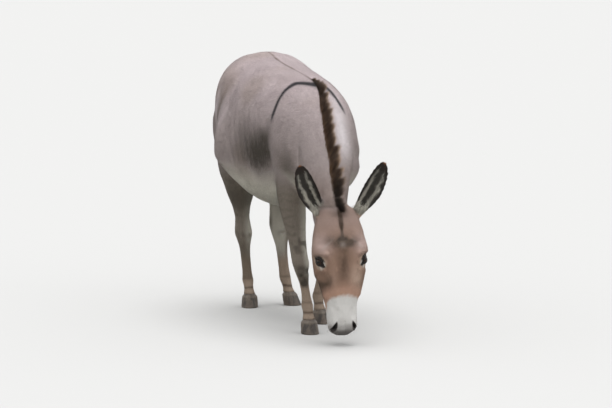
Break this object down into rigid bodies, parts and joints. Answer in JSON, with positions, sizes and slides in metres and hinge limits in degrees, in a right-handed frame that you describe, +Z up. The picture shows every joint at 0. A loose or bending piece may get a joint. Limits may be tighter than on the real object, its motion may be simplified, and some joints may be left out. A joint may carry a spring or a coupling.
{
  "type": "donkey",
  "caption": "Life-size still model of a grazing donkey, head lowered to the ground, standing on its hooves with one foreleg forward.",
  "frame": {"origin": "centre of the bounding box at ground level, under the middle of the animal", "axes": "+Z up, the animal faces -Y along its spine, and its left side is +X"},
  "size_m": [0.6158, 1.5422, 1.2171],
  "materials": {
    "coat": "short warm grey fur, pale on belly and inner legs, with a dark stripe on back and shoulders",
    "ear_coat": "tan fur with dark rims and pale hair inside",
    "mane_hair": "stiff dark brown hair with rust edges",
    "horn": "dark ringed hoof horn",
    "eye": "wet dark brown eye"
  },
  "bodies": {
    "root": {"trunk": "coat", "neck": "coat", "head": "coat", "eye_right": "eye", "eye_left": "eye", "ear_right": "ear_coat", "ear_left": "ear_coat", "foreleg_right": "coat", "foreleg_left": "coat", "hindleg_right": "coat", "hindleg_left": "coat", "hoof_fore_right": "horn", "hoof_fore_left": "horn", "hoof_hind_right": "horn", "hoof_hind_left": "horn", "mane": "mane_hair", "tail": "coat", "tail_tuft": "mane_hair"}
  },
  "joints": []
}
